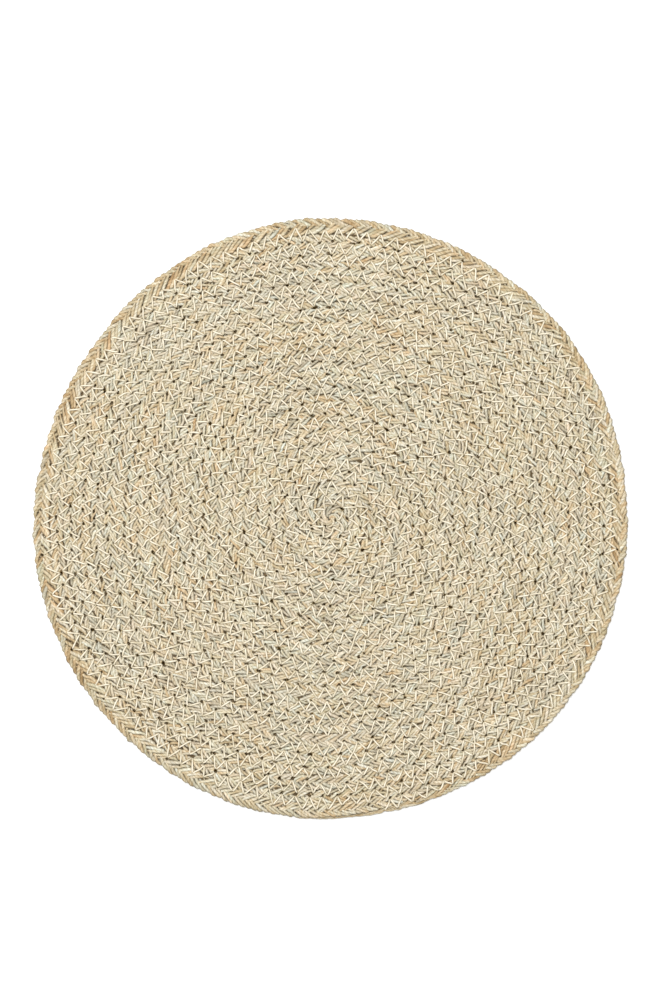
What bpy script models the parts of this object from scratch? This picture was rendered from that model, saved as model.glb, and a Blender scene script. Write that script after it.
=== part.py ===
"""Round braided jute placemat: one flat braid, wound in a spiral and sewn edge to edge.

Run it with blender --background --python part.py, or from Blender's text editor. Sizes are in
metres, +Z is up, and the mat lies on Z = 0 with the middle of its outline on the origin. The
rounds of the braid are raised ribs that follow one spiral, from the middle out to the braid's
tapered end at the rim. The strands and the sewing are finer than these solids.
"""

import math

import bmesh
import bpy

# The mat.
MAT_RADIUS = 0.190
MAT_THICKNESS = 0.0036

# The braid. ROUND_PITCH is how far each round lies outside the last. The last round has a
# free edge, so it lies wider than the ones that are sewn on both sides.
ROUND_PITCH = 0.0084
LAST_ROUND_WIDTH = 0.0103
ROUNDS = 22
GROOVE_DEPTH = 0.0009

# In the tight turn at the very middle the groove fades out.
MIDDLE_RADIUS = ROUND_PITCH * 0.4

# The braid's end, at the bottom of the mat. The spiral opens clockwise, seen from above.
END_ANGLE = math.radians(-97)
END_TAPER_TURNS = 0.14
FREE_EDGE_TURNS = 0.12

# The outline is a little out of round.
# Columns: waves round the rim, height of the wave, direction of its first crest in degrees.
OUTLINE_WAVES = (
    (2, 0.00129, 70),
    (3, 0.00076, 89),
    (4, 0.00019, 22),
    (5, 0.00053, 37),
)

# A rib's section, from the groove on its inner side. Columns: part of the width, height.
RIB_SECTION = (
    (0.00, MAT_THICKNESS - GROOVE_DEPTH),
    (0.28, MAT_THICKNESS),
    (0.72, MAT_THICKNESS),
)

# The rim's section below the last rib. Columns: distance in from the outline, height.
RIM_CREST = (0.0008, MAT_THICKNESS * 0.80)
RIM_SIDE_HEIGHT = MAT_THICKNESS * 0.50
RIM_UNDERSIDE = ((0.0004, MAT_THICKNESS * 0.17), (0.0012, 0.0))

STEPS_ROUND = 64
WELD_DISTANCE = 0.00001

JUTE_COLOUR = (0.597, 0.515, 0.371, 1.0)
JUTE_ROUGHNESS = 0.85


def smooth_step(value):
    """0 below 0, 1 above 1, and an even S between them."""
    value = min(max(value, 0.0), 1.0)
    return value * value * (3 - 2 * value)


def outline_radius(angle):
    """The mat's radius in one direction: a circle with a few low waves."""
    waves = (
        height * math.cos(count * (angle - math.radians(crest)))
        for count, height, crest in OUTLINE_WAVES
    )
    return MAT_RADIUS + sum(waves)


def last_width(turn):
    """Width of the outermost round, at a part of a turn on from the braid's end."""
    free = smooth_step(turn / FREE_EDGE_TURNS)
    return ROUND_PITCH + (LAST_ROUND_WIDTH - ROUND_PITCH) * free


def end_share(turn):
    """1 along the outermost round, falling to 0 over the tapered end of the braid."""
    return smooth_step((1 - turn) / END_TAPER_TURNS)


def section_at(turn):
    """(radius, height) of each row of points across the mat, at one part of a turn.

    Row by row, a full turn brings each round to where the next one starts, so the last
    section fits the first one, one round further out.
    """
    share = end_share(turn)
    rows = []
    for round_number in range(-1, ROUNDS - 1):
        for part, height in RIB_SECTION:
            radius = max(ROUND_PITCH * (round_number + turn + part), 0.0)
            depth = (MAT_THICKNESS - height) * smooth_step(radius / MIDDLE_RADIUS)
            rows.append((radius, MAT_THICKNESS - depth))
    inner = ROUND_PITCH * (ROUNDS - 1 + turn)
    width = last_width(turn) * share
    groove_height = RIB_SECTION[0][1]
    crest_inset, crest_height = RIM_CREST
    # Where the end has tapered away, its groove is the crest of the rim.
    rows.append(
        (
            inner - crest_inset * (1 - share),
            crest_height + (groove_height - crest_height) * share,
        )
    )
    for part, height in RIB_SECTION[1:]:
        rows.append((inner + width * part, RIM_SIDE_HEIGHT + (height - RIM_SIDE_HEIGHT) * share))
    rows.append(
        (
            inner + width - crest_inset * share,
            RIM_SIDE_HEIGHT + (crest_height - RIM_SIDE_HEIGHT) * share,
        )
    )
    rows.append((inner + width, RIM_SIDE_HEIGHT))
    return rows


def place(turn, radius, height, edge_radius):
    """A point of a section, eased outwards or inwards so that the rim meets the outline."""
    angle = END_ANGLE - 2 * math.pi * turn
    ease = (radius / edge_radius) ** 3 * (outline_radius(angle) - edge_radius)
    return (
        (radius + ease) * math.cos(angle),
        (radius + ease) * math.sin(angle),
        height,
    )


def spiral_top(bm):
    """The ribbed top: a flat grid, turns by rows, bent round the spiral and welded to itself."""
    row_count = len(section_at(0.0))
    bmesh.ops.create_grid(
        bm, x_segments=STEPS_ROUND, y_segments=row_count - 1, size=0.5
    )
    for vert in bm.verts:
        turn = vert.co.x + 0.5
        row = round((vert.co.y + 0.5) * (row_count - 1))
        rows = section_at(turn)
        radius, height = rows[row]
        vert.co = place(turn, radius, height, rows[-1][0])
    bmesh.ops.remove_doubles(bm, verts=bm.verts, dist=WELD_DISTANCE)
    bmesh.ops.dissolve_degenerate(bm, edges=bm.edges, dist=WELD_DISTANCE)


def close_underneath(bm):
    """The rim's lower side, drawn in as it goes down, and the flat underside."""
    rim = [edge for edge in bm.edges if edge.is_boundary]
    drawn_in = 0.0
    for inset, height in RIM_UNDERSIDE:
        made = bmesh.ops.extrude_edge_only(bm, edges=rim)["geom"]
        for vert in (item for item in made if isinstance(item, bmesh.types.BMVert)):
            flat = vert.co.xy
            flat = flat * (1 - (inset - drawn_in) / flat.length)
            vert.co = (flat.x, flat.y, height)
        drawn_in = inset
        rim = [item for item in made if isinstance(item, bmesh.types.BMEdge)]
    underside = bmesh.ops.contextual_create(bm, geom=rim)["faces"]
    bmesh.ops.poke(bm, faces=underside)


def centre_on_origin(bm):
    """Moves the middle of the outline's length and width to the origin."""
    for axis in (0, 1):
        values = [vert.co[axis] for vert in bm.verts]
        middle = (min(values) + max(values)) / 2
        for vert in bm.verts:
            vert.co[axis] -= middle


def jute_material():
    material = bpy.data.materials.new("natural_jute")
    material.use_nodes = True
    shader = material.node_tree.nodes["Principled BSDF"]
    shader.inputs["Base Color"].default_value = JUTE_COLOUR
    shader.inputs["Roughness"].default_value = JUTE_ROUGHNESS
    shader.inputs["Metallic"].default_value = 0.0
    return material


def braided_mat():
    bm = bmesh.new()
    spiral_top(bm)
    close_underneath(bm)
    centre_on_origin(bm)
    bmesh.ops.recalc_face_normals(bm, faces=bm.faces)
    mesh = bpy.data.meshes.new("braided_mat")
    bm.to_mesh(mesh)
    bm.free()
    mesh.materials.append(jute_material())
    return bpy.data.objects.new("braided_mat", mesh)


def main():
    for old in list(bpy.data.objects):
        bpy.data.objects.remove(old, do_unlink=True)
    collection = bpy.data.collections.new("jute_placemat")
    bpy.context.scene.collection.children.link(collection)
    collection.objects.link(braided_mat())


main()
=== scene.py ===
import math

import bmesh
import bpy
import numpy as np
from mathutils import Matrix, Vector


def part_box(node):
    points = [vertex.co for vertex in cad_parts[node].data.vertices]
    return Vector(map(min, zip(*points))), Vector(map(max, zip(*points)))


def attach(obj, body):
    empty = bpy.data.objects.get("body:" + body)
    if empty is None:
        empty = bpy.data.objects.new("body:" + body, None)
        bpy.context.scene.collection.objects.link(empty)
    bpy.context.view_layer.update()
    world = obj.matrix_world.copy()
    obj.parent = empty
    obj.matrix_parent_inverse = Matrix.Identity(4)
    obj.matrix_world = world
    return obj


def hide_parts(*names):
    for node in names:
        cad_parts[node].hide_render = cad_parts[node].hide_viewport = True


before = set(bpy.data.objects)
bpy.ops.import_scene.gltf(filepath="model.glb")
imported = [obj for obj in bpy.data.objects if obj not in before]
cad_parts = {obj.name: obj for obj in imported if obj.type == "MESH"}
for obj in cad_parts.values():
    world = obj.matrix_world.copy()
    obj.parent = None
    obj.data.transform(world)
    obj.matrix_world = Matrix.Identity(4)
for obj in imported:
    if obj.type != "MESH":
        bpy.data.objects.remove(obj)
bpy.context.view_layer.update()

print("jute placemat: the frame is loaded")

# The mat, as its solid is: one flat braid wound in a spiral that opens clockwise, seen from above.
mat = {
    "radius": 0.190,
    "pitch": 0.0084,  # from one round to the next
    "rounds": 22,
    "lastWidth": 0.0103,  # the last round has a free edge and lies wider
    "freeEdgeTurns": 0.12,
    "endAngle": math.radians(-97),  # where the braid ends, at the bottom
    "endTaperTurns": 0.14,
    "startTurn": -0.72,  # the braid's start, turned in at the very middle
    # waves round the rim, height of the wave, direction of its first crest in degrees
    "outline": ((2, 0.00129, 70), (3, 0.00076, 89), (4, 0.00019, 22), (5, 0.00053, 37)),
    "middleShare": 0.51,  # the height of the braid's middle, as a share of the thickness
}
solidLow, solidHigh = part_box("braided_mat")
thickness = solidHigh[2] - solidLow[2]
middleHeight = solidLow[2] + mat["middleShare"] * thickness
leastRadius = 0.0001  # nothing is placed closer to the middle of the spiral
tablePoints = 60001  # in a table along the whole spiral, about 0.2 mm apart
farthestDraw = 2.2  # a random draw is kept within this many standard deviations


def smoothStep(value):
    # 0 below 0, 1 above 1, and x*x*(3 - 2x) between them
    value = np.clip(value, 0.0, 1.0)
    return value * value * (3 - 2 * value)


def wander(rng, along, reach, cell):
    # slow random change along a length: a normal value every cell, joined by smooth steps
    knots = rng.normal(size=int(along.max() / cell) + 4)
    knots = np.clip(knots, -farthestDraw, farthestDraw)
    part = np.maximum(along, 0) / cell
    index = part.astype(int)
    share = smoothStep(part - index)
    return reach * (knots[index] * (1 - share) + knots[index + 1] * share)


def outlineRadius(angle):
    # the rim: a circle plus a few low cosine waves
    radius = np.full_like(angle, mat["radius"])
    for count, height, crest in mat["outline"]:
        radius = radius + height * np.cos(count * (angle - math.radians(crest)))
    return radius


def lastRoundWidth(part):
    # width of the outermost round: pitch, growing to its free width, and tapering out at its end
    free = smoothStep(part / mat["freeEdgeTurns"])
    width = mat["pitch"] + (mat["lastWidth"] - mat["pitch"]) * free
    return width * smoothStep((1 - part) / mat["endTaperTurns"])


def braidEdges(turn):
    # inner and outer radius of the braid: pitch * turn, and one pitch more, or the last width
    inner = mat["pitch"] * np.maximum(turn, 0.0)
    lastPart = turn - (mat["rounds"] - 1)
    outer = np.where(lastPart < 0, mat["pitch"] * (turn + 1), inner + lastRoundWidth(lastPart))
    return inner, outer


def rimRadius(turn):
    # the outermost round's outer edge in the direction of this turn
    part = np.mod(turn, 1.0)
    return mat["pitch"] * (mat["rounds"] - 1 + part) + lastRoundWidth(part)


def spread(turn, radius):
    # the spiral in plan: angle = end angle - 2 pi turn, and the radius is eased by its cube
    # so that the rim meets the outline
    angle = mat["endAngle"] - 2 * np.pi * turn
    edge = rimRadius(turn)
    eased = radius + (radius / edge) ** 3 * (outlineRadius(angle) - edge)
    return eased * np.cos(angle), eased * np.sin(angle)


# the middle of the outline's length and width stands on the origin
rimTurns = np.linspace(0.0, 0.99999, 721)  # one turn, in steps of half a degree
rimX, rimY = spread(rimTurns, rimRadius(rimTurns))
shiftX = (rimX.max() + rimX.min()) / 2
shiftY = (rimY.max() + rimY.min()) / 2


def place(turn, radius):
    # the same, with the middle of the outline on the origin
    x, y = spread(turn, radius)
    return x - shiftX, y - shiftY


# length along the braid's centre line, against turns
turnTable = np.linspace(mat["startTurn"], mat["rounds"], tablePoints)
tableInner, tableOuter = braidEdges(turnTable)
tableX, tableY = place(turnTable, (tableInner + tableOuter) / 2)
lengthTable = np.concatenate(([0.0], np.cumsum(np.hypot(np.diff(tableX), np.diff(tableY)))))
braidLength = lengthTable[-1]


def turnAt(length):
    return np.interp(length, lengthTable, turnTable)


def lengthAt(turn):
    return np.interp(turn, turnTable, lengthTable)


# --- sewing: where the needle goes through

sewing = {
    "stitch": 0.0045,  # along the seam, from one needle hole to the next
    "throw": 0.00345,  # how far either side of the seam the needle goes in
    "firstTurn": 0.55,
    "lastTurn": 21.955,
    "slip": 0.00060,  # how far a hole strays, along and across
    "creep": (0.0006, 0.06),  # slow shift of the holes along the seam, and over what length
    "lean": (0.00080, 0.09),  # slow change of the throw, and over what length
    "reachPower": 1.4,  # over the wide last round the stitches reach further out
    "innerLimit": 0.85,  # of the way to the middle of the mat
    "outerLimit": 0.60,  # of the width of the round outside the seam
    # how far a hole is pulled open, mean and spread; the needle goes down on the inner side
    "innerPull": (0.82, 0.30),
    "outerPull": (0.36, 0.27),
    "pullLimits": (0.05, 1.2),
    "opening": 0.00055,  # the pulled thread leaves a hole open this far behind its corner
    "bow": 0.00054,  # how far the thread between two holes bows to one side
    "sway": 0.00028,  # and how far it snakes
    "lineSteps": 6,  # points in a stitch from which the yarns' distance is measured
    "overSeed": 21,
    "underSeed": 31,
    "seed": 11,
}


def needleHoles():
    # holes at equal lengths along the spiral seam, in turn outside and inside of it by the throw
    rng = np.random.default_rng(sewing["seed"])
    seamTurns = np.linspace(sewing["firstTurn"], sewing["lastTurn"], tablePoints)
    seamX, seamY = place(seamTurns, mat["pitch"] * seamTurns)
    seamLength = np.concatenate(([0.0], np.cumsum(np.hypot(np.diff(seamX), np.diff(seamY)))))
    count = int(seamLength[-1] / sewing["stitch"])
    along = (np.arange(count) + 0.5) * sewing["stitch"]
    along = along + wander(rng, along, *sewing["creep"])
    along = along + rng.normal(size=count) * sewing["slip"]
    along = np.sort(np.clip(along, 0, seamLength[-1]))
    turn = np.interp(along, seamLength, seamTurns)
    side = np.where(np.arange(count) % 2 == 0, 1.0, -1.0)
    across = side * sewing["throw"] + wander(rng, along, *sewing["lean"])
    across = across + rng.normal(size=count) * sewing["slip"]
    seam = mat["pitch"] * turn
    inner, outer = braidEdges(turn)
    reach = np.clip((outer - inner) / mat["pitch"], 1.0, None) ** sewing["reachPower"]
    across = np.where(side > 0, across * reach, across)
    farthestIn = -sewing["innerLimit"] * seam
    across = np.clip(across, farthestIn, sewing["outerLimit"] * (outer - inner))
    innerPull = rng.normal(*sewing["innerPull"], size=count)
    outerPull = rng.normal(*sewing["outerPull"], size=count)
    pull = np.clip(np.where(side < 0, innerPull, outerPull), *sewing["pullLimits"])
    return turn, side, seam + across, pull


stitchTurn, stitchSide, stitchRadius, stitchPull = needleHoles()


def combOf(chosen, turnsBack):
    # holes in the braid's own terms: length along its centre line, distance out from it, pull;
    # each lies behind the corner of the thread by the opening
    turn = stitchTurn[chosen] - turnsBack
    inner, outer = braidEdges(turn)
    inside = turn > mat["startTurn"]
    turn = turn[inside]
    opened = stitchRadius[chosen] + sewing["opening"] * stitchSide[chosen]
    across = (opened - (inner + outer) / 2)[inside]
    return lengthAt(turn), across, stitchPull[chosen][inside]


combs = (combOf(stitchSide > 0, 0.0), combOf(stitchSide < 0, 1.0))


def nearHoles(along, across):
    # the four needle holes nearest by: each one's length and distance out to here, and its pull
    for holeAlong, holeAcross, holePull in combs:
        after = np.clip(np.searchsorted(holeAlong, along), 1, len(holeAlong) - 1)
        for index in (after - 1, after):
            yield along - holeAlong[index], across - holeAcross[index], holePull[index]


def holeNearness(along, across, width, pulled):
    # 1 at a hole, 0 away from it: 1 - product over the holes of
    # (1 - pull * exp(-(distance/width)^2)), where pull is 1 unless pulled is true
    away = np.ones(along.shape)
    for fromAlong, fromAcross, pull in nearHoles(along, across):
        near = np.exp(-(fromAlong ** 2 + fromAcross ** 2) / width ** 2)
        away = away * (1 - (np.minimum(pull, 1.0) if pulled else 1.0) * near)
    return 1 - away


def threadLine(parts, seed):
    # the thread in plan, at these parts of every stitch: straight from hole to hole in turns and
    # radius, bowed and swayed a little: radius + bow * sin(pi part) + sway * sin(2 pi part)
    rng = np.random.default_rng(seed)
    turn = stitchTurn[:-1, None] + parts[None, :] * np.diff(stitchTurn)[:, None]
    radius = stitchRadius[:-1, None] + parts[None, :] * np.diff(stitchRadius)[:, None]
    bow = sewing["bow"] * rng.normal(size=(len(turn), 1)) * np.sin(np.pi * parts)[None, :]
    sway = sewing["sway"] * rng.normal(size=(len(turn), 1)) * np.sin(2 * np.pi * parts)[None, :]
    return turn, np.maximum(radius + bow + sway, leastRadius)


def fromThread(along, across):
    # radial distance to here from the thread over the braid's inner seam, and over its outer one
    turn = turnAt(along)
    inner, outer = braidEdges(turn)
    radius = (inner + outer) / 2 + across
    parts = np.arange(sewing["lineSteps"]) / sewing["lineSteps"]
    lineTurn, lineRadius = threadLine(parts, sewing["overSeed"])
    distances = np.zeros(along.shape + (3,))
    for index in (0, 1):
        line = np.interp(turn + index, lineTurn.ravel(), lineRadius.ravel())
        distances[..., index] = radius - line
    return distances


print("needle holes:", len(stitchTurn))


# --- meshes

def meshFrom(name, points, faces, material):
    # a smooth mesh object at the origin, from faces that are given outwards
    mesh = bpy.data.meshes.new(name)
    mesh.from_pydata(points, [], faces)
    mesh.polygons.foreach_set("use_smooth", np.ones(len(mesh.polygons), dtype=bool))
    mesh.materials.append(material)
    mesh.update()
    made = bpy.data.objects.new(name, mesh)
    bpy.context.scene.collection.objects.link(made)
    return made


def tube(path, radius, sides, flatness):
    # a section carried along a path: point = path + r*cos(a)*side + r*flatness*sin(a)*up,
    # where side lies level, square to the path, and up is square to both. Its first point is on
    # top.
    heading = np.gradient(path, axis=0)
    heading /= np.linalg.norm(heading, axis=1, keepdims=True)
    side = np.stack((heading[:, 1], -heading[:, 0], np.zeros(len(path))), axis=1)
    side /= np.linalg.norm(side, axis=1, keepdims=True)
    up = np.cross(side, heading)
    angle = np.arange(sides) * 2 * np.pi / sides + np.pi / 2
    ring = (
        np.cos(angle)[None, :, None] * side[:, None, :]
        + flatness * np.sin(angle)[None, :, None] * up[:, None, :]
    )
    points = path[:, None, :] + ring * radius[:, None, None]
    first = np.arange(len(path) - 1)[:, None] * sides
    here = first + np.arange(sides)[None, :]
    following = first + (np.arange(sides)[None, :] + 1) % sides
    quads = np.stack((here, here + sides, following + sides, following), axis=-1).reshape(-1, 4)
    caps = [list(range(sides)), [len(path) * sides - 1 - k for k in range(sides)]]
    return points.reshape(-1, 3), quads.tolist() + caps, angle


def keepOnPoints(made, **kept):
    # values kept on the points of a mesh, for its material to read: numbers, or rows of three
    for name, values in kept.items():
        kind, field = ("FLOAT_VECTOR", "vector") if values.ndim > 1 else ("FLOAT", "value")
        layer = made.data.attributes.new(name, kind, "POINT")
        layer.data.foreach_set(field, np.ascontiguousarray(values, dtype=np.float32).ravel())


# --- materials

def linear(code):
    # an sRGB hex colour as linear red, green, blue and alpha
    values = []
    for start in (1, 3, 5):
        value = int(code[start:start + 2], 16) / 255
        values.append(value / 12.92 if value <= 0.04045 else ((value + 0.055) / 1.055) ** 2.4)
    return (*values, 1.0)


def setInputs(tree, node, inputs):
    # an input, by its name or by its place, gets a value or is linked to another node's output
    for socket, value in (inputs.items() if isinstance(inputs, dict) else enumerate(inputs)):
        if isinstance(value, bpy.types.NodeSocket):
            tree.links.new(value, node.inputs[socket])
        else:
            node.inputs[socket].default_value = value


def addNode(tree, kind, inputs=(), **settings):
    # a shader node with its own settings, and its inputs set
    node = tree.nodes.new("ShaderNode" + kind)
    for name, value in settings.items():
        setattr(node, name, value)
    setInputs(tree, node, inputs)
    return node


def newMaterial(name):
    material = bpy.data.materials.new(name)
    material.use_nodes = True
    tree = material.node_tree
    tree.nodes.clear()
    shader = addNode(tree, "BsdfPrincipled")
    addNode(tree, "OutputMaterial", {"Surface": shader.outputs[0]})
    return material, tree, shader


def setRamp(node, stops):
    ramp = node.color_ramp
    while len(ramp.elements) > 1:
        ramp.elements.remove(ramp.elements[-1])
    ramp.elements[0].position, ramp.elements[0].color = stops[0][0], linear(stops[0][1])
    for position, code in stops[1:]:
        ramp.elements.new(position).color = linear(code)


# Light that comes out of a hollow has met more fibre, so it is warmer. For red, green and blue:
# the power of the shade, and how much a full lean, to pink at 1 and to green at -1, adds to it.
hollowLight = ((0.87, 0.018), (1.0, -0.028), (1.30, -0.060))


def shaded(tree, colour, shade, lean=0.0):
    # channel by channel: colour * shade^power * (1 + lean * added)
    channels = []
    for power, added in hollowLight:
        darker = addNode(tree, "Math", (shade, power), operation="POWER").outputs[0]
        leaning = addNode(tree, "Math", (lean, added, 1.0), operation="MULTIPLY_ADD").outputs[0]
        both = addNode(tree, "Math", (darker, leaning), operation="MULTIPLY").outputs[0]
        channels.append(both)
    shading = addNode(tree, "CombineXYZ", channels).outputs[0]
    return addNode(tree, "VectorMath", (colour, shading), operation="MULTIPLY").outputs[0]


# Jute: bast fibre, retted, spun and twisted in two loose plies. Batches of fibre differ, so a yarn
# runs from grey-beige through cream to tan; the fibres show as fine dull-silky streaks, broken
# up by the twist, and the hollow between the plies is in shade.
juteLook = {
    "colours": (
        (0.24, "#9A9382"),
        (0.36, "#B7B09D"),
        (0.47, "#CDC5B1"),
        (0.56, "#CCC0A4"),
        (0.66, "#C4AF8C"),
        (0.80, "#A88C65"),
    ),
    "patch": (0.0030, 0.0030, 0.007),  # a patch of one colour: across, through and along the yarn
    "patchShare": 0.4,  # how much of its patches' noise moves a yarn's colour
    # a fibre is 0.05 mm wide, too fine to show, so bundles of fibres are drawn
    "streak": (0.00075, 0.00075, 0.0020),
    "streakRange": (0.30, 0.70),  # the noise's values that give the darkest and palest streak
    "streakShade": (0.72, 1.22),
    "streakRoughness": (0.88, 0.62),
    "twistLength": 0.0046,  # one turn of the two plies
    "plyShade": 0.72,  # in the hollow between the plies
    "plyRange": (0.05, 0.55),  # from the hollow to the ply's crown, as a share of the radius
    "sideShade": 0.80,  # low on a yarn's sides, next to other yarns
    "sideRange": (0.45, 0.95),  # as a share of the radius
    "dentShade": 0.84,  # in the dent that the thread presses in
    "dentRange": (0.45, 1.0),  # as a share of the dent's width
    "dentWidth": 0.0019,  # measured out from the mat's middle, so longer than square to the thread
    "pitShade": 0.05,  # down in a needle hole
    "pitRange": (0.24, 0.64),
    "shine": 0.22,  # loose fibre ends shine less than a smooth face would
    "sheen": 0.05,
    "relief": 0.00030,
}


def juteYarnMaterial():
    look = juteLook
    radius = braid["yarnRadius"]
    material, tree, shader = newMaterial("spun_jute")
    kept = {}
    for name in ("pit", "tone", "pale", "tint"):
        kept[name] = addNode(tree, "Attribute", attribute_name=name).outputs["Fac"]
    straight = addNode(tree, "Attribute", attribute_name="straightYarn").outputs["Vector"]
    fromLine = addNode(tree, "Attribute", attribute_name="fromThread").outputs["Vector"]
    # the section turns once in each twist length
    length = addNode(tree, "SeparateXYZ", (straight,)).outputs["Z"]
    twist = (length, 2 * math.pi / look["twistLength"])
    inputs = {
        "Vector": straight,
        "Angle": addNode(tree, "Math", twist, operation="MULTIPLY").outputs[0],
    }
    turned = addNode(tree, "VectorRotate", inputs, rotation_type="Z_AXIS").outputs[0]
    noises = []
    for size in (look["patch"], look["streak"]):
        inputs = {"Vector": turned, "Scale": [1 / each for each in size]}
        scaled = addNode(tree, "Mapping", inputs).outputs[0]
        inputs = {"Vector": scaled, "Scale": 1.0, "Detail": 2.0, "Roughness": 0.55}
        noises.append(addNode(tree, "TexNoise", inputs).outputs[0])
    patch, streak = noises
    # the batch of fibre, and some of the patch noise about it
    inputs = (patch, look["patchShare"], -look["patchShare"] / 2)
    tone = addNode(tree, "Math", inputs, operation="MULTIPLY_ADD").outputs[0]
    tone = addNode(tree, "Math", (tone, kept["tone"]), operation="ADD").outputs[0]
    ramp = addNode(tree, "ValToRGB", (tone,))
    setRamp(ramp, look["colours"])
    # the plies crown on either side of the hollow between them
    side = addNode(tree, "SeparateXYZ", (turned,)).outputs["X"]
    side = addNode(tree, "Math", (side,), operation="ABSOLUTE").outputs[0]
    crown = addNode(tree, "Math", (side, radius), operation="DIVIDE").outputs[0]
    inputs = (crown, *look["plyRange"], look["plyShade"], 1.0)
    plyShade = addNode(tree, "MapRange", inputs).outputs[0]
    inputs = (streak, *look["streakRange"], *look["streakShade"])
    streakShade = addNode(tree, "MapRange", inputs).outputs[0]
    # between two yarns the sides are in shade
    out = addNode(tree, "SeparateXYZ", (straight,)).outputs["X"]
    out = addNode(tree, "Math", (out,), operation="ABSOLUTE").outputs[0]
    inputs = (out, *(share * radius for share in look["sideRange"]), 1.0, look["sideShade"])
    sideShade = addNode(tree, "MapRange", inputs).outputs[0]
    # and so is the dent under the nearer of the two lines of thread
    distances = []
    for line in addNode(tree, "SeparateXYZ", (fromLine,)).outputs[:2]:
        distances.append(addNode(tree, "Math", (line,), operation="ABSOLUTE").outputs[0])
    nearest = addNode(tree, "Math", distances, operation="MINIMUM").outputs[0]
    dent = (share * look["dentWidth"] for share in look["dentRange"])
    inputs = (nearest, *dent, look["dentShade"], 1.0)
    dentShade = addNode(tree, "MapRange", inputs, interpolation_type="SMOOTHSTEP").outputs[0]
    # round the needle hole the fibres go down into the dark
    inputs = (kept["pit"], *look["pitRange"], 0.0, 1.0)
    pit = addNode(tree, "MapRange", inputs, interpolation_type="SMOOTHSTEP").outputs[0]
    inputs = (pit, look["pitShade"] - 1, 1.0)
    pitShade = addNode(tree, "Math", inputs, operation="MULTIPLY_ADD").outputs[0]
    shade = kept["pale"]
    for further in (streakShade, plyShade, sideShade, dentShade, pitShade):
        shade = addNode(tree, "Math", (shade, further), operation="MULTIPLY").outputs[0]
    inputs = (streak, *look["streakRange"], *look["streakRoughness"])
    roughness = addNode(tree, "MapRange", inputs).outputs[0]
    # the relief is that of the two plies, and of the streaks on them
    plies = addNode(tree, "Math", (plyShade, 0.6), operation="MULTIPLY").outputs[0]
    relief = addNode(tree, "Math", (streak, 0.7, plies), operation="MULTIPLY_ADD").outputs[0]
    inputs = {"Height": relief, "Strength": 0.6, "Distance": look["relief"]}
    bump = addNode(tree, "Bump", inputs).outputs[0]
    # painted shade on the glints: shine and sheen fade to nothing down in a needle hole
    glints = []
    for glint in (look["shine"], look["sheen"]):
        inputs = (pit, -glint, glint)
        glints.append(addNode(tree, "Math", inputs, operation="MULTIPLY_ADD").outputs[0])
    inputs = {
        "Base Color": shaded(tree, ramp.outputs["Color"], shade, kept["tint"]),
        "Roughness": roughness,
        "Normal": bump,
        "Specular IOR Level": glints[0],
        "IOR": 1.5,
        "Sheen Weight": glints[1],
        "Sheen Roughness": 0.5,
    }
    setInputs(tree, shader, inputs)
    return material


# Sewing thread: bleached cotton, two plies twisted, so it is pale cream and evenly matt.
threadLook = {
    "colours": ((0.34, "#CFC3A6"), (0.60, "#EBE2CD")),
    "change": (0.0025, 0.0025, 0.006),  # a patch of one colour: across, through and along
    "pitShade": 0.22,  # down in a needle hole
    "plyLength": 0.0012,  # one turn of the plies
    "relief": 0.0001,
}


def sewingThreadMaterial():
    look = threadLook
    material, tree, shader = newMaterial("bleached_cotton_thread")
    straight = addNode(tree, "Attribute", attribute_name="straightYarn").outputs["Vector"]
    pit = addNode(tree, "Attribute", attribute_name="pit").outputs["Fac"]
    inputs = {"Vector": straight, "Scale": [1 / each for each in look["change"]]}
    scaled = addNode(tree, "Mapping", inputs).outputs[0]
    inputs = {"Vector": scaled, "Scale": 1.0, "Detail": 2.0}
    change = addNode(tree, "TexNoise", inputs).outputs[0]
    ramp = addNode(tree, "ValToRGB", (change,))
    setRamp(ramp, look["colours"])
    dark = addNode(tree, "MapRange", {"Value": pit, "To Min": 1.0, "To Max": look["pitShade"]})
    inputs = {"Vector": straight, "Scale": (1.0, 1.0, 2 * math.pi / look["plyLength"])}
    plies = addNode(tree, "Mapping", inputs).outputs[0]
    # at scale 0.05 the bands repeat every 2 pi
    inputs = {"Vector": plies, "Scale": 0.05, "Distortion": 1.0}
    twist = addNode(tree, "TexWave", inputs, wave_type="BANDS", bands_direction="Z")
    inputs = {"Height": twist.outputs["Fac"], "Strength": 0.3, "Distance": look["relief"]}
    bump = addNode(tree, "Bump", inputs).outputs[0]
    inputs = {
        "Base Color": shaded(tree, ramp.outputs["Color"], dark.outputs[0]),
        "Normal": bump,
        "Roughness": 0.7,
        "IOR": 1.53,
        "Sheen Weight": 0.03,
    }
    setInputs(tree, shader, inputs)
    return material


# The fibre deep between the strands: the same jute, darkened as painted shade for the depth it lies
# at.
innerFibreLook = {
    # painted shade: the jute's colours darkened, as this fibre shows only down in the gaps
    "colours": ((0.30, "#463825"), (0.70, "#766142")),
    "tufts": 900.0,  # in a metre
    "relief": 0.0003,
}


def innerFibreMaterial():
    look = innerFibreLook
    material, tree, shader = newMaterial("inner_jute_fibre_painted_shade")
    where = addNode(tree, "TexCoord").outputs["Object"]
    inputs = {"Vector": where, "Scale": look["tufts"], "Detail": 2.0}
    fibres = addNode(tree, "TexNoise", inputs).outputs[0]
    ramp = addNode(tree, "ValToRGB", (fibres,))
    setRamp(ramp, look["colours"])
    inputs = {"Height": fibres, "Strength": 0.5, "Distance": look["relief"]}
    bump = addNode(tree, "Bump", inputs).outputs[0]
    inputs = {"Base Color": ramp.outputs["Color"], "Normal": bump, "Roughness": 0.95}
    setInputs(tree, shader, inputs)
    return material
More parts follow.
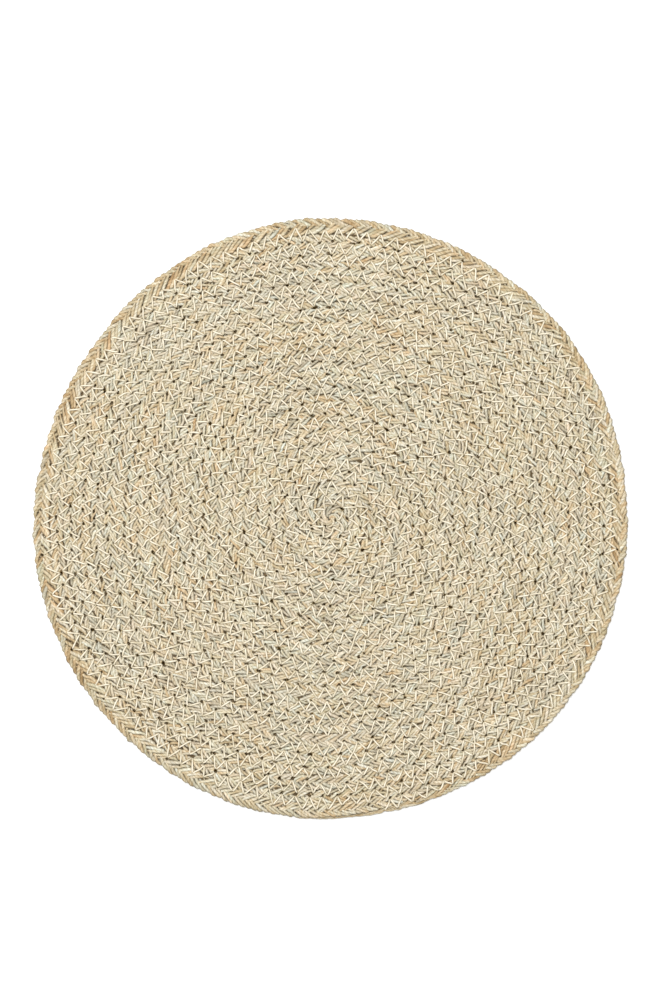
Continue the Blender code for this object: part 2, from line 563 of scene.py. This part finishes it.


# The underside's inner yarns, which lie too close together to be made one by one: the same jute, as
# slanting stripes that meet in a point along the braid's middle, with painted shade in the hollows
# between them.
undersideLook = {
    # painted shade: the colour in the hollow between two drawn yarns
    "hollow": "#5E4E37",
    "colours": ((0.36, "#A59B87"), (0.62, "#C9BA9B")),
    "tufts": 420.0,  # in a metre
    "yarnWidth": 0.0022,
    "hollowRange": (0.08, 0.50),  # from the hollow between two yarns to the lit part of one
    "slope": math.radians(33),  # between a yarn and the braid's length
    "roughness": (0.75, 0.95),
    "relief": 0.0005,
}


def undersideMaterial():
    look = undersideLook
    material, tree, shader = newMaterial("jute_braid_underside")
    strip = addNode(tree, "UVMap", uv_map="strip").outputs[0]
    across, along = addNode(tree, "SeparateXYZ", (strip,)).outputs[:2]
    # lines of equal along * sin slope + distance from the middle * cos slope run with the yarns
    across = addNode(tree, "Math", (across, 0.5), operation="SUBTRACT").outputs[0]
    across = addNode(tree, "Math", (across,), operation="ABSOLUTE").outputs[0]
    inputs = (across, mat["pitch"] * math.cos(look["slope"]))
    line = addNode(tree, "Math", inputs, operation="MULTIPLY").outputs[0]
    inputs = (along, math.sin(look["slope"]), line)
    line = addNode(tree, "Math", inputs, operation="MULTIPLY_ADD").outputs[0]
    # 0 in the hollow between two yarns, 1 on the crown of one
    inputs = (line, look["yarnWidth"] / 2)
    crown = addNode(tree, "Math", inputs, operation="PINGPONG").outputs[0]
    inputs = (crown, look["yarnWidth"] / 2)
    crown = addNode(tree, "Math", inputs, operation="DIVIDE").outputs[0]
    where = addNode(tree, "TexCoord").outputs["Object"]
    inputs = {"Vector": where, "Scale": look["tufts"], "Detail": 3.0}
    fibres = addNode(tree, "TexNoise", inputs).outputs[0]
    ramp = addNode(tree, "ValToRGB", (fibres,))
    setRamp(ramp, look["colours"])
    # painted shade in the hollows, and the crowns painted lit
    inputs = (crown, *look["hollowRange"])
    lit = addNode(tree, "MapRange", inputs, interpolation_type="SMOOTHSTEP").outputs[0]
    # a Mix node has one A and one B for each kind of data; 6 and 7 are the colour ones
    inputs = {"Factor": lit, 6: linear(look["hollow"]), 7: ramp.outputs["Color"]}
    colour = addNode(tree, "Mix", inputs, data_type="RGBA").outputs[2]
    relief = addNode(tree, "Math", (fibres, 0.3, crown), operation="MULTIPLY_ADD").outputs[0]
    inputs = {"Height": relief, "Strength": 0.8, "Distance": look["relief"]}
    bump = addNode(tree, "Bump", inputs).outputs[0]
    low, high = look["roughness"]
    roughness = addNode(tree, "MapRange", {"Value": fibres, "To Min": low, "To Max": high})
    inputs = {
        "Base Color": colour,
        "Normal": bump,
        "Roughness": roughness.outputs[0],
        "Specular IOR Level": juteLook["shine"],
    }
    setInputs(tree, shader, inputs)
    return material


# --- the braid's yarns

braid = {
    "strands": 4,
    "yarnsInStrand": 2,
    "lay": 0.0310,  # length in which a strand swings out and back once
    "yarnRadius": 0.00116,
    "flatness": 0.56,
    "rise": 0.00062,  # how far a strand lies above the middle where it is on top
    "sag": 0.00092,  # and how far below it on the underside
    "sides": 4,
    "sample": 0.0004,  # how finely a yarn's course is worked out, before its points are chosen
    # from one ring of points to the next, on top and underneath
    "step": (0.0013, 0.0030),
    "stepAtFold": (0.0011, 0.0018),
    "stepAtHole": (0.0007, 0.0018),
    "holeReach": 0.0015,  # how far round a needle hole the points stand closer
    "foldFrom": 0.86,  # share of the swing past which a yarn folds
    "dipLength": 0.002,  # a yarn that dives under the next within this length counts as folded
    "fold": 0.88,  # 1 folds the yarns sharply at the edges, 0 turns them round slowly
    "turnRound": 3.2,  # how quickly a yarn changes direction at the edges
    "laneGap": 0.120,  # a yarn's place beside the next one of its strand, in lays
    "laneHeight": (-0.00008, 0.00008),  # a strand is crowned
    "lanePale": (0.92, 1.05),  # and one yarn of each strand is paler
    "laneTone": (0.02, -0.02),
    "toneAtRim": 0.075,  # the last round comes from a more golden batch
    "rimShade": 0.14,  # painted shade along the free edge, whose sides turn away from the light
    "rimShadeWidth": 0.0024,
    "edgeInset": 0.55,  # of a yarn's radius, by which the braid is narrower at its free edge
    "spreadPower": 1.3,  # the last round is wider, and its yarns are spread to fill it
    "roll": 0.12,  # how far the braid is rolled outwards, as a share of its half width
    "rollAtRim": 0.48,
    "holePush": 0.00095,  # how far the thread drags the yarns apart at a needle hole
    "pushWidth": 0.0011,
    "pushEdge": 0.0001,  # a yarn whose middle is closer to the hole than this is dragged less
    "holePinch": 0.30,  # how much thinner a yarn is at a needle hole
    "pinchWidth": 0.0012,
    "holeWidth": 0.00110,
    "holeDepth": 0.95,
    "inset": 0.55,  # of a yarn's radius, kept between its path and the braid's edge
    "overlap": 0.32,  # how far past the middle a strand stays on top, as a share of its swing
    "crossing": 2.3,  # how quickly a strand dives under the next at the braid's middle
    # a yarn is fullest at this share of its swing, and drawn tight this far to both sides of it
    "fullestAt": -0.35,
    "fullReach": 0.65,
    "drawnTight": 0.34,  # the share of its radius that it loses there
    "tightest": 1.2,
    "leastSqueeze": 0.02,  # of the braid's full width, at its tapered end
    "leastYarn": 0.00018,  # no radius is smaller
    "markShift": 2.3,  # along the yarn's pattern, so that no two yarns have the same marks
    "seed": 5,
}

# Slow random changes along the braid: how far, and over what length. The first of each three is
# common to the whole braid, the second to a strand, and the third is a single yarn's own.
drifts = {
    "phase": ((0.5, 0.35), (0.12, 0.022), (0.09, 0.012)),
    "swing": (None, (0.04, 0.018), None),
    "across": ((0.00015, 0.03), None, (0.00028, 0.0042)),
    "roll": ((0.16, 0.06), None, None),
    "height": (None, (0.00010, 0.013), (0.00010, 0.007)),
    "radius": (None, None, (0.13, 0.0036)),
    "tone": ((0.012, 0.06), (0.050, 0.03), (0.050, 0.012)),
    "pale": (None, None, (0.10, 0.006)),
    "tint": ((0.12, 0.05), (0.40, 0.03), (0.8, 0.010)),
}


def drift(rngs, name, along):
    # the changes of one kind along the yarn, added up
    total = 0.0
    for rng, change in zip(rngs, drifts[name]):
        if change:
            total = total + wander(rng, along, *change)
    return total


def yarnCourse(rngs, strand, lane, along):
    # A flat braid folds over at its edges, so every yarn swings in straight lines from edge to
    # edge: share = asin(fold sin t) / asin fold, with t = 2 pi (along/lay + strand/strands - lag),
    # and across = swing * share. It is on top from the inner edge as far as the middle, or
    # further by roll and overlap, on its way out, and from the outer edge that far on its way
    # back: below = tanh(crossing * (way * (share - roll + way * lag * 2) - overlap)), where way
    # is 1 towards the rim and -1 back, and height = -rise * below on top, -sag * below underneath.
    # It is fullest in the middle of its length on top:
    # full = 1 - drawnTight * ((way * share - fullestAt) / fullReach)^2.
    inner, outer = braidEdges(turnAt(along))
    lastPart = turnAt(along) - (mat["rounds"] - 1)
    atRim = smoothStep(lastPart / mat["freeEdgeTurns"])
    half = (outer - braid["edgeInset"] * braid["yarnRadius"] * atRim - inner) / 2
    squeeze = np.clip(half / (mat["pitch"] / 2), braid["leastSqueeze"], 1.0)
    lag = (lane - (braid["yarnsInStrand"] - 1) / 2) * braid["laneGap"]
    phase = 2 * np.pi * (along / braid["lay"] + strand / braid["strands"] - lag)
    phase = phase + drift(rngs, "phase", along)
    swing = half - braid["inset"] * braid["yarnRadius"] * squeeze
    swing = swing * (1 + drift(rngs, "swing", along))
    share = np.arcsin(braid["fold"] * np.sin(phase)) / math.asin(braid["fold"])
    across = swing * share + drift(rngs, "across", along)
    way = np.tanh(braid["turnRound"] * np.cos(phase))
    roll = braid["roll"] + (braid["rollAtRim"] - braid["roll"]) * atRim
    roll = roll + drift(rngs, "roll", along)
    below = np.tanh(braid["crossing"] * (way * (share - roll + way * lag * 2) - braid["overlap"]))
    height = drift(rngs, "height", along) - np.sign(below) * braid["laneHeight"][lane]
    height = height - np.where(below < 0, braid["rise"], braid["sag"]) * below
    tight = ((way * share - braid["fullestAt"]) / braid["fullReach"]) ** 2
    return {
        "across": across,
        "height": height,
        "share": share,
        "below": below,
        "full": 1 - braid["drawnTight"] * np.clip(tight, 0, braid["tightest"]),
        "squeeze": squeeze,
        "spreading": np.maximum(half / (mat["pitch"] / 2), 1.0) ** braid["spreadPower"],
        "atRim": atRim,
    }


def pushedAside(along, across):
    # the thread drags a yarn away from each needle hole, square to the yarn, by
    # push * pull * exp(-(distance/width)^2) * tanh(distance to the side / edge)
    slope = np.gradient(across, along)
    sideAlong, sideAcross = -slope / np.hypot(1, slope), 1 / np.hypot(1, slope)
    moved, pushed = along.copy(), across.copy()
    for fromAlong, fromAcross, pull in nearHoles(along, across):
        out = fromAlong * sideAlong + fromAcross * sideAcross
        push = np.exp(-(fromAlong ** 2 + fromAcross ** 2) / braid["pushWidth"] ** 2)
        push = push * braid["holePush"] * pull * np.tanh(out / braid["pushEdge"])
        moved += push * sideAlong
        pushed += push * sideAcross
    return moved, pushed


def pointsWanted(along, course):
    # places in the finely worked out course where a ring of points stands: they are closer
    # together on top, and there again at the needle holes and where the yarn folds or dips
    near = holeNearness(along, course["across"], braid["holeReach"], False)
    dip = np.clip(np.abs(np.gradient(course["below"], along)) * braid["dipLength"], 0, 1)
    bent = np.minimum(dip + (np.abs(course["share"]) > braid["foldFrom"]), 1)
    onTop = smoothStep(0.5 - course["below"])
    rings = []
    for name in ("step", "stepAtFold", "stepAtHole"):
        topStep, underStep = braid[name]
        rings.append((1 / topStep - 1 / underStep) * onTop + 1 / underStep)
    plain, folded, atHole = rings
    density = np.maximum(plain + (folded - plain) * bent, near * atHole)
    steps = (density[1:] + density[:-1]) / 2 * braid["sample"]
    count = np.concatenate(([0.0], np.cumsum(steps)))
    return np.interp(np.arange(int(count[-1])), count, np.arange(len(along)))


def yarnPath(strand, lane):
    # the yarn's path through the mat, its radius, and what its material reads along it
    seed = braid["seed"]
    rngs = [np.random.default_rng(value) for value in (
        seed,
        seed * 100 + strand,
        seed * 100 + 10 + strand * 5 + lane,
    )]
    along = np.arange(0.0, braidLength, braid["sample"])
    course = yarnCourse(rngs, strand, lane, along)
    wanted = pointsWanted(along, course)
    moved, across = pushedAside(along, course["across"])
    pinch = braid["holePinch"] * holeNearness(moved, across, braid["pinchWidth"], True)
    course.update(along=along, moved=moved, across=across, pinched=1 - pinch)
    places = np.arange(len(along))
    course = {name: np.interp(wanted, places, values) for name, values in course.items()}
    moved, across, atRim = course["moved"], course["across"], course["atRim"]
    along = course["along"]
    turn = turnAt(np.clip(moved, 0, braidLength))
    inner, outer = braidEdges(turn)
    x, y = place(turn, np.clip((inner + outer) / 2 + across, leastRadius, None))
    path = np.stack((x, y, middleHeight + course["height"] * course["squeeze"]), axis=1)
    radius = braid["yarnRadius"] * np.sqrt(course["squeeze"]) * course["spreading"]
    radius = radius * course["pinched"] * (1 + drift(rngs, "radius", along)) * course["full"]
    radius = np.maximum(radius, braid["leastYarn"])
    tone = 0.5 + braid["laneTone"][lane] + braid["toneAtRim"] * atRim
    marks = {
        "tone": tone + drift(rngs, "tone", along),
        "pale": braid["lanePale"][lane] * (1 + drift(rngs, "pale", along)),
        "tint": drift(rngs, "tint", along),
    }
    return path, radius, along, np.stack((moved, across), axis=1), marks


def pressedAtHoles(points, angle, radius, local):
    # the closer a point of the section lies to a needle hole, the closer it is pressed to the
    # middle of the mat: height = middle + (height - middle) * (1 - depth * nearness)
    heading = np.gradient(local, axis=0)
    heading /= np.maximum(np.linalg.norm(heading, axis=1, keepdims=True), 1e-9)
    out = radius[:, None] * np.cos(angle)[None, :]
    alongHere = local[:, :1] + out * heading[:, 1:]
    acrossHere = local[:, 1:] - out * heading[:, :1]
    pit = holeNearness(alongHere, acrossHere, braid["holeWidth"], True).ravel()
    pressed = points.copy()
    pressed[:, 2] = middleHeight + (points[:, 2] - middleHeight) * (1 - braid["holeDepth"] * pit)
    return pressed, pit, fromThread(alongHere, acrossHere).reshape(-1, 3)


def straightened(along, angle, radius, shift):
    # where a point lies on the yarn pulled straight: (r cos a, r sin a, length + shift)
    places = np.empty((len(along), len(angle), 3))
    places[..., 0] = radius * np.cos(angle)
    places[..., 1] = radius * np.sin(angle)
    places[..., 2] = along[:, None] + shift
    return places


def paintedShadeAtRim(points):
    # painted shade at the rim: 1 over the mat, falling near the rim: 1 - shade * exp(-(distance
    # from the rim / width)^2)
    x = points[:, 0] + shiftX
    y = points[:, 1] + shiftY
    angle = np.arctan2(y, x)
    turn = np.mod((mat["endAngle"] - angle) / (2 * np.pi), 1.0)
    rimX, rimY = spread(turn, rimRadius(turn))
    inside = np.hypot(rimX, rimY) - np.hypot(x, y)
    near = np.exp(-(np.maximum(inside, 0) / braid["rimShadeWidth"]) ** 2)
    return 1 - braid["rimShade"] * near


def makeYarns(material):
    made = []
    sides = braid["sides"]
    for strand in range(braid["strands"]):
        for lane in range(braid["yarnsInStrand"]):
            path, radius, along, local, marks = yarnPath(strand, lane)
            points, faces, angle = tube(path, radius, sides, braid["flatness"])
            points, pit, beside = pressedAtHoles(points, angle, radius, local)
            yarn = meshFrom(f"jute_yarn_{strand + 1}_{lane + 1}", points, faces, material)
            shift = braid["markShift"] * len(made)
            straight = straightened(along, angle, braid["yarnRadius"], shift)
            marks = {name: np.repeat(values, sides) for name, values in marks.items()}
            # the pale mark also carries the painted shade at the rim
            marks["pale"] = marks["pale"] * paintedShadeAtRim(points)
            keepOnPoints(yarn, straightYarn=straight, pit=pit, fromThread=beside, **marks)
            made.append(yarn)
            print(yarn.name, len(path), "points,", len(faces) * 2, "triangles")
    return made


# --- the sewing thread, over and under

thread = {
    "radius": 0.00053,
    "radiusDrift": (0.07, 0.004),  # how much it changes, and over what length
    "flatness": 0.9,
    "sides": 4,
    # part of a stitch, height above the needle hole's depth as a share of the full height
    "over": ((0.0, 0.0), (0.09, 0.74), (0.26, 1.0), (0.50, 0.96), (0.74, 1.0), (0.91, 0.74)),
    "under": ((0.0, 0.0), (0.2, 0.95), (0.8, 0.95)),
    "topHeight": 0.00350,
    "holeHeight": 0.0016,
    "underHeight": 0.00062,
    "leastDown": 0.55,  # how far the thread goes down at a hole that is not pulled open
    "loose": 0.045,  # how much one stitch stands higher than another
    "darkening": 1.15,  # how quickly it gets into the dark on its way down, to 1 at the bottom
}


def threadPath(shape, surfaceHeight, seed):
    # a zigzag from hole to hole: at the surface between holes and down in them, where
    # height = surface - (surface - hole height) * down, and the stitch as a whole more or less
    rng = np.random.default_rng(seed + 1)
    parts = np.array([part for part, share in shape])
    shares = np.array([share for part, share in shape])
    turn, radius = threadLine(parts, seed)
    # down at the hole that the point is nearer to, as far as that hole is pulled open
    firstPull = np.minimum(stitchPull[:-1, None], 1.0)
    lastPull = np.minimum(stitchPull[1:, None], 1.0)
    pull = np.where(parts[None, :] < 0.5, firstPull, lastPull)
    down = (1 - shares[None, :]) * (thread["leastDown"] + (1 - thread["leastDown"]) * pull)
    loose = 1 + thread["loose"] * rng.normal(size=(len(turn), 1))
    height = thread["holeHeight"] + (surfaceHeight - thread["holeHeight"]) * (1 - down) * loose
    x, y = place(turn.ravel(), radius.ravel())
    path = np.stack((x, y, height.ravel()), axis=1)
    steps = np.linalg.norm(np.diff(path, axis=0), axis=1)
    along = np.concatenate(([0.0], np.cumsum(steps)))
    deep = np.clip(1 - thread["darkening"] * (1 - down), 0, 1).ravel()
    return path, along, deep


def makeThread(name, shape, surfaceHeight, seed, material):
    path, along, deep = threadPath(shape, surfaceHeight, seed)
    rng = np.random.default_rng(seed + 2)
    radius = thread["radius"] * (1 + wander(rng, along, *thread["radiusDrift"]))
    points, faces, angle = tube(path, radius, thread["sides"], thread["flatness"])
    made = meshFrom(name, points, faces, material)
    straight = straightened(along, angle, thread["radius"], 0.0)
    keepOnPoints(made, straightYarn=straight, pit=np.repeat(deep, thread["sides"]))
    print(made.name, len(path), "points,", len(faces) * 2, "triangles")
    return made


# --- the fibre inside, which closes the mat between its strands

core = {
    "height": 0.00137,
    "halfThickness": 0.00005,
    "rib": 0.00018,
    "ribFrom": 0.004,  # radius at which the rib has its full height
    "stepsInTurn": 96,
    "insetAtRim": 0.0011,
    "mergeDistance": 0.00002,
}


def makeCore(material, underside):
    # a strip along the spiral, from inner seam over its middle to outer seam, with two skins:
    # height = seam + rib * (1 at the strip's middle) +- half thickness
    tiny = 1e-9
    noWidth = 1e-7
    steps = (mat["rounds"] + 1) * core["stepsInTurn"]
    turn = np.linspace(-1.0, mat["rounds"], steps + 1)[:, None] * np.ones((1, 3))
    turnInside = np.minimum(turn, mat["rounds"] - tiny)
    inner, outer = braidEdges(turn)
    part = np.array([[0.0, 0.5, 1.0]])
    shrink = 1 - core["insetAtRim"] / rimRadius(turnInside)
    radius = (inner + (outer - inner) * part) * shrink
    x, y = place(turnInside, radius)
    rib = core["rib"] * (1 - np.abs(2 * part - 1)) * np.clip(radius / core["ribFrom"], 0, 1)
    # the skins meet at the rim, and at the tip of the tapered end
    atRim = (part == 1.0) & (turn > mat["rounds"] - 1 - tiny)
    atTip = (outer - inner < noWidth) & (turn > 0)
    half = np.where(atRim | atTip, 0.0, core["halfThickness"])
    height = core["height"] + rib * (half > 0)
    upper = np.stack((x, y, height + half), axis=-1).reshape(-1, 3)
    lower = np.stack((x, y, height - half), axis=-1).reshape(-1, 3)
    first = np.arange(steps)[:, None] * 3 + np.array([[0, 1]])
    quads = np.stack((first, first + 3, first + 4, first + 1), axis=-1).reshape(-1, 4)
    faces = np.concatenate((quads, quads[:, ::-1] + len(upper)))
    made = meshFrom("inner_fibre", np.concatenate((upper, lower)), faces.tolist(), material)
    made.data.materials.append(underside)
    made.data.polygons.foreach_set("material_index", np.repeat((0, 1), len(quads)))
    # place across the braid, 0 to 1, and length along it, on each corner of each face
    strip = np.stack((part + 0 * turn, lengthAt(turn)), axis=-1).reshape(-1, 2)
    corners = made.data.uv_layers.new(name="strip")
    corners.data.foreach_set("uv", np.concatenate((strip, strip))[faces.ravel()].ravel())
    # the seams between the rounds are welded
    joined = bmesh.new()
    joined.from_mesh(made.data)
    bmesh.ops.remove_doubles(joined, verts=joined.verts, dist=core["mergeDistance"])
    bmesh.ops.dissolve_degenerate(joined, edges=joined.edges, dist=core["mergeDistance"] / 2)
    bmesh.ops.recalc_face_normals(joined, faces=joined.faces)
    joined.to_mesh(made.data)
    joined.free()
    made.data.polygons.foreach_set("use_smooth", np.ones(len(made.data.polygons), dtype=bool))
    print(made.name, len(made.data.polygons), "faces")
    return made


juteYarn = juteYarnMaterial()
cottonThread = sewingThreadMaterial()
innerFibre = innerFibreMaterial()
braidUnderside = undersideMaterial()

yarns = makeYarns(juteYarn)
overThread = makeThread(
    "zigzag_thread_over", thread["over"], thread["topHeight"], sewing["overSeed"], cottonThread
)
underThread = makeThread(
    "zigzag_thread_under", thread["under"], thread["underHeight"], sewing["underSeed"], cottonThread
)
matCore = makeCore(innerFibre, braidUnderside)

for piece in (*yarns, overThread, underThread, matCore):
    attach(piece, "root")
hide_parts("braided_mat")

# --- floor, light and camera

studio = {
    "floorSize": 8.0,
    "floorColour": "#F3F3F2",
    "floorRoughness": 0.9,
    "grain": 700.0,  # of the paper, in a metre
    "grainRelief": 0.0002,
    "skyColour": "#FFFFFF",
    "skyStrength": 0.75,
    "lampSize": 1.6,
    "lampPlace": (-0.4, 0.6, 2.3),
    "lampPower": 56.0,
}


def makeFloor():
    material, tree, shader = newMaterial("matt_white_paper")
    where = addNode(tree, "TexCoord").outputs["Object"]
    inputs = {"Vector": where, "Scale": studio["grain"], "Detail": 2.0}
    grain = addNode(tree, "TexNoise", inputs).outputs[0]
    inputs = {"Height": grain, "Strength": 0.05, "Distance": studio["grainRelief"]}
    bump = addNode(tree, "Bump", inputs).outputs[0]
    inputs = {
        "Base Color": linear(studio["floorColour"]),
        "Normal": bump,
        "Roughness": studio["floorRoughness"],
    }
    setInputs(tree, shader, inputs)
    reach = studio["floorSize"] / 2
    corners = [(-reach, -reach, 0), (reach, -reach, 0), (reach, reach, 0), (-reach, reach, 0)]
    return meshFrom("floor", corners, [(0, 1, 2, 3)], material)


makeFloor()

world = bpy.data.worlds.new("soft_studio")
world.use_nodes = True
bpy.context.scene.world = world
world.node_tree.nodes.clear()
inputs = {"Color": linear(studio["skyColour"]), "Strength": studio["skyStrength"]}
sky = addNode(world.node_tree, "Background", inputs)
addNode(world.node_tree, "OutputWorld", {"Surface": sky.outputs[0]})

lamp = bpy.data.lights.new("soft_box", "AREA")
lamp.shape = "SQUARE"
lamp.size = studio["lampSize"]
lamp.energy = studio["lampPower"]
lampObject = bpy.data.objects.new("soft_box", lamp)
lampObject.location = studio["lampPlace"]
towards = Vector((0, 0, 0)) - Vector(studio["lampPlace"])
lampObject.rotation_euler = towards.to_track_quat("-Z", "Y").to_euler()
bpy.context.scene.collection.objects.link(lampObject)

view = {
    "lens": 90.0,
    "sensorHeight": 36.0,
    "seenHeight": 0.6350,  # how much of the table the picture takes in, from bottom to top
    "shape": 665 / 998,  # the picture's width by its height
    "middle": (0.0014, 0.0123),  # the point of the table below the camera
}
camera = bpy.data.cameras.new("camera")
camera.sensor_fit = "VERTICAL"
camera.sensor_height = view["sensorHeight"]
camera.sensor_width = view["sensorHeight"] * view["shape"]
camera.lens = view["lens"]
cameraObject = bpy.data.objects.new("camera", camera)
# the distance from the mat's top at which the picture is as high as seenHeight
distance = view["seenHeight"] / view["sensorHeight"] * view["lens"]
cameraObject.location = (*view["middle"], thickness + distance)
bpy.context.scene.collection.objects.link(cameraObject)
bpy.context.scene.camera = cameraObject
bpy.context.scene.view_settings.view_transform = "Standard"
bpy.context.scene.view_settings.look = "None"
print("floor, light and camera are in place")
